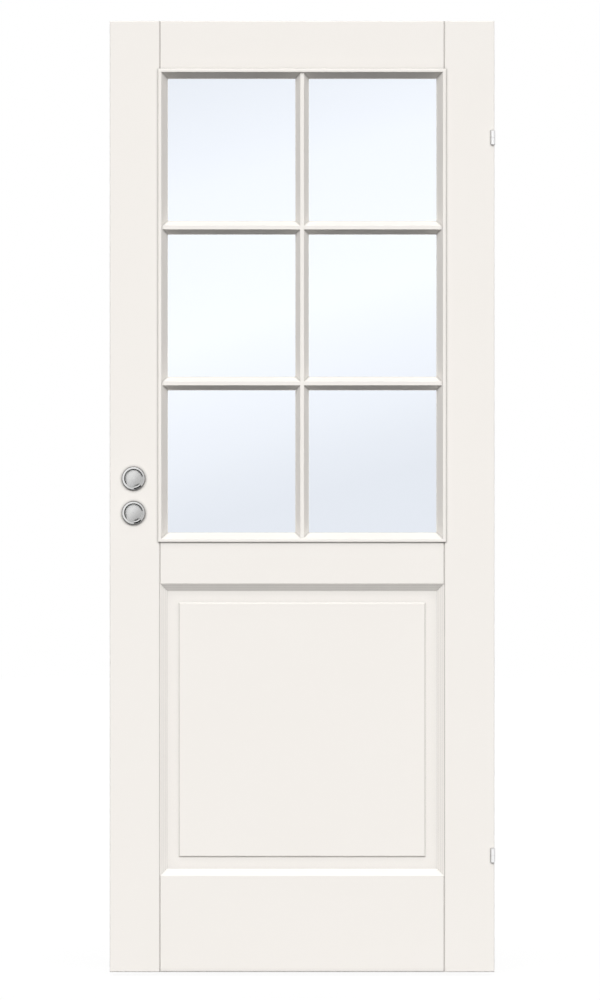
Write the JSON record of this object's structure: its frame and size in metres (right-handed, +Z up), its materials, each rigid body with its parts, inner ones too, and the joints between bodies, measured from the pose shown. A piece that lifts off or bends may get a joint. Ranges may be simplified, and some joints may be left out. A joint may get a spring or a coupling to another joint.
{
  "type": "interior door leaf",
  "caption": "White interior door leaf with a barred glazed upper half, a raised and fielded lower panel, blank round rosettes, a mortise lock and lift-off hinges.",
  "frame": {"origin": "under the middle of the leaf's bottom edge, halfway through its thickness", "axes": "+Z up the leaf, +X across it towards the hinges, +Y from the front face to the back face"},
  "size_m": [0.8267, 0.05, 2.04],
  "materials": {
    "painted_wood": "satin white paint on wood",
    "bare_wood": "bare beech",
    "glass": "clear toughened float glass",
    "seal": "pale closed-cell foam",
    "chrome": "polished ring, brushed dish",
    "brushed_steel": "brushed",
    "zinc_steel": "zinc plated",
    "bolt_metal": "satin nickel plated",
    "hinge_metal": "bright zinc plated"
  },
  "bodies": {
    "hinge_frames": {"hinge_frame_lower": "hinge_metal", "hinge_frame_upper": "hinge_metal", "hinge_pin_lower": "hinge_metal", "hinge_pin_upper": "hinge_metal"},
    "leaf": {"top_rail": "painted_wood", "lock_rail": "painted_wood", "bottom_rail": "painted_wood", "rail_dowels": "bare_wood", "panel": "painted_wood", "glass_pane": "glass", "setting_blocks": "seal", "lock_case": "zinc_steel", "lock_cover": "zinc_steel", "forend": "brushed_steel", "forend_screws": "hinge_metal", "rosette_plates": "zinc_steel", "rosette_screws": "hinge_metal", "lock_stile": "painted_wood", "hinge_screws": "hinge_metal", "hinge_stile": "painted_wood", "panel_mould_front_top": "painted_wood", "panel_mould_front_bottom": "painted_wood", "panel_mould_front_left": "painted_wood", "panel_mould_front_right": "painted_wood", "panel_mould_back_top": "painted_wood", "panel_mould_back_bottom": "painted_wood", "panel_mould_back_left": "painted_wood", "panel_mould_back_right": "painted_wood", "glazing_bead_front_top": "painted_wood", "glazing_bead_front_bottom": "painted_wood", "glazing_bead_front_left": "painted_wood", "glazing_bead_front_right": "painted_wood", "glazing_bead_back_top": "painted_wood", "glazing_bead_back_bottom": "painted_wood", "glazing_bead_back_left": "painted_wood", "glazing_bead_back_right": "painted_wood", "glazing_bar_front_upright": "painted_wood", "glazing_bar_back_upright": "painted_wood", "glazing_bar_front_lower_left": "painted_wood", "glazing_bar_front_lower_right": "painted_wood", "glazing_bar_front_upper_left": "painted_wood", "glazing_bar_front_upper_right": "painted_wood", "glazing_bar_back_lower_left": "painted_wood", "glazing_bar_back_lower_right": "painted_wood", "glazing_bar_back_upper_left": "painted_wood", "glazing_bar_back_upper_right": "painted_wood", "glazing_tape_front": "seal", "glazing_tape_back": "seal", "rosette_cap_front_upper": "chrome", "rosette_cap_front_lower": "chrome", "rosette_cap_back_upper": "chrome", "rosette_cap_back_lower": "chrome", "hinge_leaf_lower": "hinge_metal", "hinge_leaf_upper": "hinge_metal"},
    "latch": {"latch_bolt": "bolt_metal"},
    "handle_hub": {"handle_follower": "bolt_metal"},
    "dead_bolt": {"dead_bolt": "bolt_metal"},
    "turn_hub": {"turn_follower": "bolt_metal"}
  },
  "joints": [
    {"name": "leaf_swing", "type": "hinge", "parent": "hinge_frames", "child": "leaf", "pos_m": [0.40925, -0.02, 1.02], "axis": [0, 0, 1], "range_deg": [0, 170]},
    {"name": "latch_slide", "type": "slide", "parent": "leaf", "child": "latch", "axis": [-1, 0, 0], "range_m": [0, 0.011], "stiffness_N_per_m": 20},
    {"name": "handle_turn", "type": "hinge", "parent": "leaf", "child": "handle_hub", "pos_m": [-0.3615, 0, 1.059], "axis": [0, 1, 0], "range_deg": [0, 38], "stiffness_Nm_per_rad": 0.8},
    {"name": "turn_turn", "type": "hinge", "parent": "leaf", "child": "turn_hub", "pos_m": [-0.3615, 0, 0.985], "axis": [0, 1, 0], "range_deg": [0, 90]},
    {"name": "dead_bolt_slide", "type": "slide", "parent": "leaf", "child": "dead_bolt", "axis": [-1, 0, 0], "range_m": [0, 0.014]}
  ],
  "couplings": [
    {"joint": "turn_turn", "follows": "dead_bolt_slide", "rad_per_m": 112.1}
  ]
}
